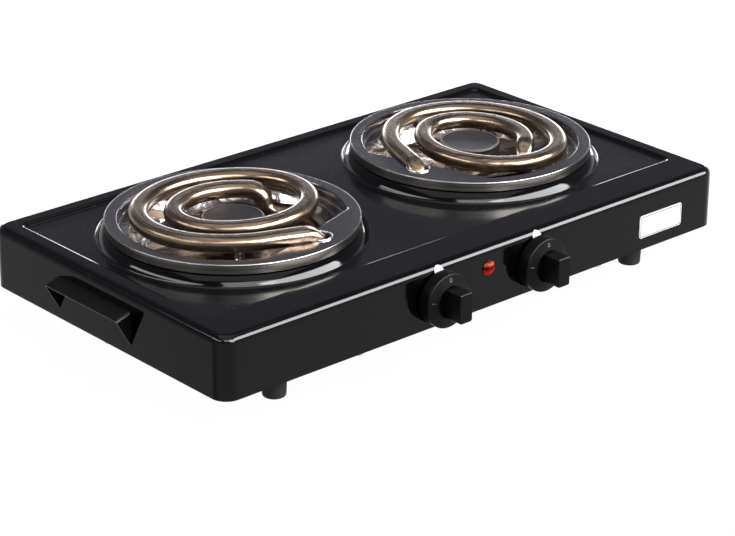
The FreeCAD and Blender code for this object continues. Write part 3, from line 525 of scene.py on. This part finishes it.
# Ceramic pieces: pressed steatite, cream white and slightly glazed.
# They plug the ends of the coils, carry the switch blades and make the terminal block.
steatite_dark = (0.62, 0.58, 0.50, 1)
steatite_light = (0.74, 0.71, 0.64, 1)
steatite, tree, shader = new_finish("steatite", roughness=0.5)
cloud = noise_node(tree, object_place(tree), scale=300.0, detail=4.0)
tree.links.new(mix_node(tree, cloud, steatite_dark, steatite_light), shader.inputs["Base Color"])
put_on(steatite, "left_coil_beads", "right_coil_beads", "left_stack", "right_stack", "terminal_block")

# Zinc plated steel: cold pins, thermostat frames, shafts, screws, rivets, nuts and clips.
# The plating is thin and goes cloudy in patches.
zinc = cloudy_metal("zinc_plate", (0.58, 0.58, 0.56, 1), scale=400.0, detail=4.0, low=0.22, high=0.45)
put_on(zinc, "left_coil_pins", "right_coil_pins", "left_thermostat_frame", "right_thermostat_frame",
       "left_shaft", "right_shaft", "stack_rivets", "thermostat_screws", "lamp_clip", "block_screws",
       "earth_screw", "base_screws", "foot_screws", "foot_nuts")

# Switch blades and terminals: rolled brass and bimetal strip, cut and bent.
# They are riveted in the stacks or held in the terminal block.
brass = cloudy_metal("rolled_brass", (0.72, 0.52, 0.22, 1), scale=260.0, detail=4.0, low=0.2, high=0.42)
put_on(brass, "left_contact_blade", "right_contact_blade", "left_bimetal", "right_bimetal",
       "block_terminals")

# Indicator lamp: a domed red lens moulded in clear plastic, pushed through the front wall.
# Light and dark bands painted up its height, with an orange painted highlight near the crown, stand in for
# the light its ribbed inside bends, and a small neon bulb stands behind it.
lens_low, lens_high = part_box("lamp_lens")
lens_foot_red = (0.08, 0.003, 0.003, 1)
lens_painted_bands = ((0.12, (0.52, 0.007, 0.007, 1)), (0.40, (0.42, 0.006, 0.005, 1)),
              (0.50, (0.05, 0.002, 0.002, 1)), (0.62, (0.10, 0.004, 0.003, 1)),
              (0.80, (0.68, 0.130, 0.065, 1)), (0.90, (0.32, 0.024, 0.013, 1)))
lens_crown_red = (0.06, 0.003, 0.003, 1)
lens_cloud_red = (0.16, 0.004, 0.003, 1)
lens_cloud_share = 0.25
red_lens, tree, shader = new_finish("red_lens", roughness=0.06, specular_ior_level=0.05)
place = object_place(tree)
# Painted light: the bands by height paint the lens's refraction and an orange highlight.
height = span_node(tree, split_node(tree, place)["Z"], start=lens_low.z, end=lens_high.z)
painted_bands = add_node(tree, "ShaderNodeValToRGB", {"Fac": height})
for share, colour in lens_painted_bands:
    painted_bands.color_ramp.elements.new(share).color = colour
painted_bands.color_ramp.elements[0].color = lens_foot_red
painted_bands.color_ramp.elements[-1].color = lens_crown_red
cloud = sum_node(tree, "MULTIPLY", noise_node(tree, place, scale=700.0, detail=2.0), lens_cloud_share)
tone = mix_node(tree, cloud, painted_bands.outputs["Color"], lens_cloud_red)
tree.links.new(tone, shader.inputs["Base Color"])
put_on(red_lens, "lamp_lens")
bulb, tree, shader = new_finish("bulb_glass", base_color=(0.95, 0.93, 0.90, 1), transmission_weight=0.9)
rough = noise_node(tree, object_place(tree), scale=300.0, detail=2.0)
rough = span_node(tree, rough, start=0.0, end=1.0, low=0.04, high=0.12)
tree.links.new(rough, shader.inputs["Roughness"])
put_on(bulb, "lamp_bulb")

# Knobs: moulded in black phenolic plastic with a skirt, a sloping dial face and a grip bar.
# The mould is spark eroded, which leaves a fine even grain.
grain, grain_in, grain_out = new_effect(
    "mould grain", [("Vector", "NodeSocketVector", None), ("Grains", "NodeSocketFloat", 1800.0)], ["Height"])
grain.links.new(noise_node(grain, grain_in.outputs["Vector"], grain_in.outputs["Grains"], detail=2.0),
                grain_out.inputs["Height"])
phenolic_black = (0.0012, 0.0011, 0.0012, 1)
phenolic_grey = (0.0024, 0.0022, 0.0023, 1)
phenolic, tree, shader = new_finish("knob_phenolic", roughness=0.38, specular_ior_level=0.08)
place = object_place(tree)
texture = effect_node(tree, grain, Vector=place, Grains=1800.0).outputs["Height"]
tone = mix_node(tree, noise_node(tree, place, scale=80.0, detail=4.0), phenolic_black, phenolic_grey)
tree.links.new(tone, shader.inputs["Base Color"])
tree.links.new(bump_node(tree, texture, strength=0.25, distance=0.0002), shader.inputs["Normal"])
for side in sides:
    smooth_skin(side + "_knob", phenolic, "knob_plastic", side + "_knob")

# Dial marks: a plain raised nought at the top of each dial face and a short tick at its left.
# They are moulded with the knob in the same black and coloured grey as a painted highlight, so that they
# show.
mark_radius = 0.0158
mark_out = 0.0119
mark_tilt = math.radians(15)
mark_rise = 0.00018
mark_dark = (0.045, 0.043, 0.042, 1)
mark_light = (0.085, 0.082, 0.080, 1)
nought_size = (0.0011, 0.0016)
nought_stroke = 0.00045
nought_clock = 0.0
tick_size = (0.00045, 0.0030)
tick_clock = math.radians(-80)


def put_on_dial(form, knob, clock):
    low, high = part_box(knob)
    middle = Vector(((low.x + high.x) / 2, front_wall, (low.z + high.z) / 2))
    along = Vector((math.cos(clock), 0.0, -math.sin(clock)))
    spoke = Vector((math.sin(clock), 0.0, math.cos(clock)))
    out = Vector((0.0, -1.0, 0.0))
    up = spoke * math.cos(mark_tilt) - out * math.sin(mark_tilt)
    lift = out * math.cos(mark_tilt) + spoke * math.sin(mark_tilt)
    seat = Matrix((along, up, lift)).transposed().to_4x4()
    seat.translation = middle + spoke * mark_radius + out * mark_out
    bmesh.ops.transform(form, matrix=seat, verts=form.verts)


# Painted highlight: the grey stands in for light catching the raised marks.
mark_highlight_finish, tree, shader = new_finish("mark_painted_highlight", roughness=0.5)
tone = mix_node(tree, noise_node(tree, object_place(tree), scale=900.0, detail=3.0), mark_dark, mark_light)
tree.links.new(tone, shader.inputs["Base Color"])
for side in sides:
    knob = side + "_knob"
    form = bmesh.new()
    bmesh.ops.create_circle(form, cap_ends=True, segments=32, radius=1.0)
    bmesh.ops.scale(form, verts=form.verts, vec=(*nought_size, 1.0))
    bmesh.ops.inset_region(form, faces=form.faces[:], thickness=nought_stroke, use_boundary=True,
                           use_even_offset=True)
    hollow = max(form.faces, key=lambda face: len(face.verts))
    bmesh.ops.delete(form, geom=[hollow], context="FACES_ONLY")
    bmesh.ops.solidify(form, geom=form.faces[:], thickness=2 * mark_rise)
    bmesh.ops.recalc_face_normals(form, faces=form.faces)
    put_on_dial(form, knob, nought_clock)
    keep_piece(side + "_dial_nought", form, mark_highlight_finish, "knob_plastic", knob)
    form = bmesh.new()
    bmesh.ops.create_cube(form, size=1.0)
    bmesh.ops.scale(form, verts=form.verts, vec=(*tick_size, 2 * mark_rise))
    bmesh.ops.bevel(form, geom=form.edges[:], offset=mark_rise / 3, segments=2, affect="EDGES",
                    profile=0.5, material=-1)
    put_on_dial(form, knob, tick_clock)
    keep_piece(side + "_dial_tick", form, mark_highlight_finish, "knob_plastic", knob)

# Cord gland: a bush moulded in black nylon, pushed into the back wall from outside.
# Its flange stays proud of the wall, and its bore is open for the lead.
nylon, tree, shader = new_finish("black_nylon", base_color=(0.014, 0.014, 0.014, 1), roughness=0.5)
texture = effect_node(tree, grain, Vector=object_place(tree), Grains=1200.0).outputs["Height"]
tree.links.new(bump_node(tree, texture, strength=0.2, distance=0.0002), shader.inputs["Normal"])
put_on(nylon, "cord_gland")

# Base plate: plain steel sheet with vent slots, screwed up into the casing's flange.
# Rolling and handling leave it cloudy.
base_sheet = cloudy_metal("base_sheet", (0.46, 0.47, 0.48, 1), scale=60.0, detail=5.0, low=0.25, high=0.5)
put_on(base_sheet, "base_plate")

# Feet: short tapered rubber buffers, moulded hollow and screwed to the base plate.
# The rubber is dull and slightly grained.
rubber, tree, shader = new_finish("foot_rubber", base_color=(0.007, 0.007, 0.0073, 1), roughness=0.7,
                                  specular_ior_level=0.2)
texture = effect_node(tree, grain, Vector=object_place(tree), Grains=900.0).outputs["Height"]
tree.links.new(bump_node(tree, texture, strength=0.3, distance=0.0003), shader.inputs["Normal"])
put_on(rubber, "front_left_foot", "front_right_foot", "rear_left_foot", "rear_right_foot")

# Studio: a white paper floor that keeps a soft shadow, a white room, and a dim cloth ceiling over it.
# Softboxes at the right and the left and a lamp overhead light the object. The sheens and the
# strip at the back show only as reflections, and draw the bright lines along its edges.
floor_half = 6.0
floor_glow = 1.02
floor_glow_share = 0.95
white = (1, 1, 1, 1)
paper, tree, shader = new_finish("white_paper", base_color=(0.86, 0.86, 0.86, 1), roughness=0.9,
                                 specular_ior_level=0.1)
rays = add_node(tree, "ShaderNodeLightPath")
seen = sum_node(tree, "MAXIMUM", rays.outputs["Is Camera Ray"], rays.outputs["Is Glossy Ray"])
seen = sum_node(tree, "MAXIMUM", seen, rays.outputs["Is Transmission Ray"])
seen = sum_node(tree, "MULTIPLY", seen, floor_glow_share)
glow = add_node(tree, "ShaderNodeEmission", {"Color": white, "Strength": floor_glow})
both = add_node(tree, "ShaderNodeMixShader", {0: seen, 1: shader.outputs[0], 2: glow.outputs[0]})
tree.links.new(both.outputs[0], tree.nodes["Material Output"].inputs["Surface"])
form = bmesh.new()
bmesh.ops.create_grid(form, x_segments=1, y_segments=1, size=floor_half)
floor = new_object("floor", form, paper)

ceiling_radius = 4.0
ceiling_start = 0.12 * ceiling_radius
ceiling_end = 0.26 * ceiling_radius
ceiling_tint = (0.88, 0.87, 1.0, 1)
cloth, tree, shader = new_finish("ceiling_cloth")
tree.nodes.remove(shader)
dimming = span_node(tree, split_node(tree, object_place(tree))["Z"], start=ceiling_start, end=ceiling_end,
                    low=0.97, high=0.28, interpolation_type="SMOOTHSTEP")
glow = add_node(tree, "ShaderNodeEmission", {"Color": ceiling_tint, "Strength": dimming})
tree.links.new(glow.outputs[0], tree.nodes["Material Output"].inputs["Surface"])
form = bmesh.new()
bmesh.ops.create_uvsphere(form, u_segments=64, v_segments=48, radius=ceiling_radius)
low_verts = [vert for vert in form.verts if vert.co.z < ceiling_start]
bmesh.ops.delete(form, geom=low_verts, context="VERTS")
bmesh.ops.reverse_faces(form, faces=form.faces)
ceiling = new_object("ceiling", form, cloth)
ceiling.visible_camera = False

world = bpy.data.worlds.new("white_room")
world.use_nodes = True
world.node_tree.nodes["Background"].inputs["Color"].default_value = white
bpy.context.scene.world = world

lamp_aim = (0.0, 0.0, 0.06)


def hang_lamp(name, azimuth, elevation, distance, width, height, radiance):
    lamp = bpy.data.lights.new(name, "AREA")
    lamp.shape = "RECTANGLE"
    lamp.size = width
    lamp.size_y = height
    lamp.energy = radiance * math.pi * width * height
    hung = bpy.data.objects.new(name, lamp)
    bpy.context.scene.collection.objects.link(hung)
    turn = (Matrix.Rotation(math.radians(azimuth + 90), 4, "Z")
            @ Matrix.Rotation(math.radians(90 - elevation), 4, "X"))
    hung.matrix_world = Matrix.Translation(lamp_aim) @ turn @ Matrix.Translation((0.0, 0.0, distance))
    hung.visible_camera = False
    return hung


right_softbox = hang_lamp("right_softbox", azimuth=-34.0, elevation=31.0, distance=1.7,
                          width=1.15, height=0.72, radiance=14.0)
front_sheen = hang_lamp("front_sheen", azimuth=-68.0, elevation=33.0, distance=1.69,
                        width=2.28, height=0.84, radiance=36.0)
left_softbox = hang_lamp("left_softbox", azimuth=168.0, elevation=32.0, distance=1.7,
                         width=1.9, height=0.45, radiance=4.0)
left_sheen = hang_lamp("left_sheen", azimuth=168.0, elevation=32.0, distance=1.69,
                       width=1.9, height=0.26, radiance=15.0)
top_lamp = hang_lamp("top_lamp", azimuth=120.0, elevation=82.0, distance=1.6,
                     width=1.3, height=1.3, radiance=1.8)
top_sheen = hang_lamp("top_sheen", azimuth=228.0, elevation=84.0, distance=1.6,
                      width=1.7, height=1.7, radiance=1.5)
near_sheen = hang_lamp("near_sheen", azimuth=-119.0, elevation=40.0, distance=1.69,
                       width=1.1, height=0.6, radiance=12.0)
back_strip = hang_lamp("back_strip", azimuth=47.0, elevation=5.5, distance=2.6,
                       width=2.6, height=0.46, radiance=9.0)
for lamp in (right_softbox, left_softbox, top_lamp):
    lamp.visible_glossy = False
for lamp in (front_sheen, left_sheen, top_sheen, near_sheen, back_strip):
    lamp.visible_diffuse = False

# Camera: stands where the photograph was taken from, with the same lens angle.
# It is turned to the right, looks down on the top, and leans by a third of a degree.
camera_azimuth = math.radians(-41.74)
camera_elevation = math.radians(23.35)
camera_roll = math.radians(0.31)
camera_place = (-1.20777, -1.34640, 0.79429)
lens = bpy.data.cameras.new("camera")
lens.sensor_width = 36.0
lens.lens = 132.5
lens.clip_start = 0.05
lens.clip_end = 50.0
camera = bpy.data.objects.new("camera", lens)
bpy.context.scene.collection.objects.link(camera)
turn = (Matrix.Rotation(camera_azimuth, 4, "Z") @ Matrix.Rotation(math.pi / 2 - camera_elevation, 4, "X")
        @ Matrix.Rotation(camera_roll, 4, "Z"))
camera.matrix_world = Matrix.Translation(camera_place) @ turn
bpy.context.scene.camera = camera
bpy.context.scene.view_settings.view_transform = "Standard"
